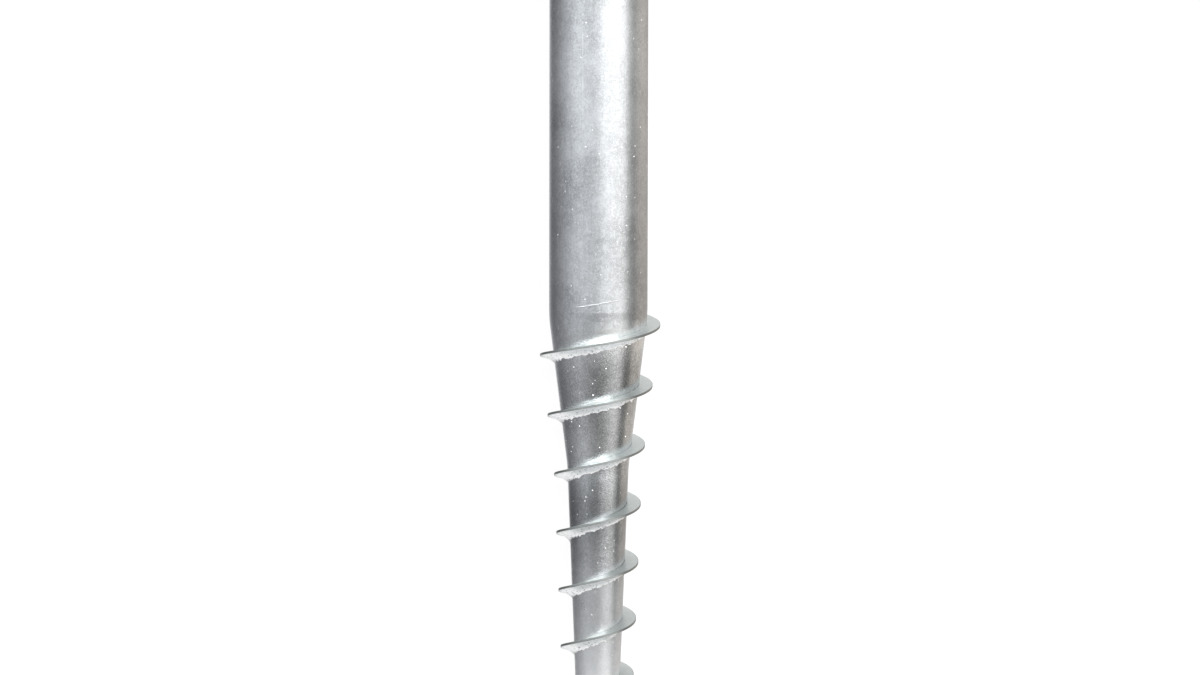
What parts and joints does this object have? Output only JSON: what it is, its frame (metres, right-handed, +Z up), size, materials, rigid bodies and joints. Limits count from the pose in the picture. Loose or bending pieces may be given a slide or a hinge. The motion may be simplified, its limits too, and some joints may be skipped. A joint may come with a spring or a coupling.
{
  "type": "foundation ground screw",
  "caption": "Hollow steel ground screw for posts and racking: plain open tube head with a cross hole, double-taper point and one continuous spiral blade.",
  "frame": {"origin": "on the screw's axis, at the centre of the cross hole near the head", "axes": "+X along the screw's axis towards the open head, the point at -X; +Y along the cross hole; +Z up, with the screw lying on its side"},
  "size_m": [1.3, 0.0931, 0.0901],
  "materials": {
    "tube_zinc": "hot-dip galvanised, satin",
    "blade_zinc": "hot-dip galvanised, satin",
    "weld_zinc": "hot-dip galvanised, rough"
  },
  "bodies": {
    "root": {"shaft_tube": "tube_zinc", "helix_blade": "blade_zinc", "weld_bead": "weld_zinc"}
  },
  "joints": []
}
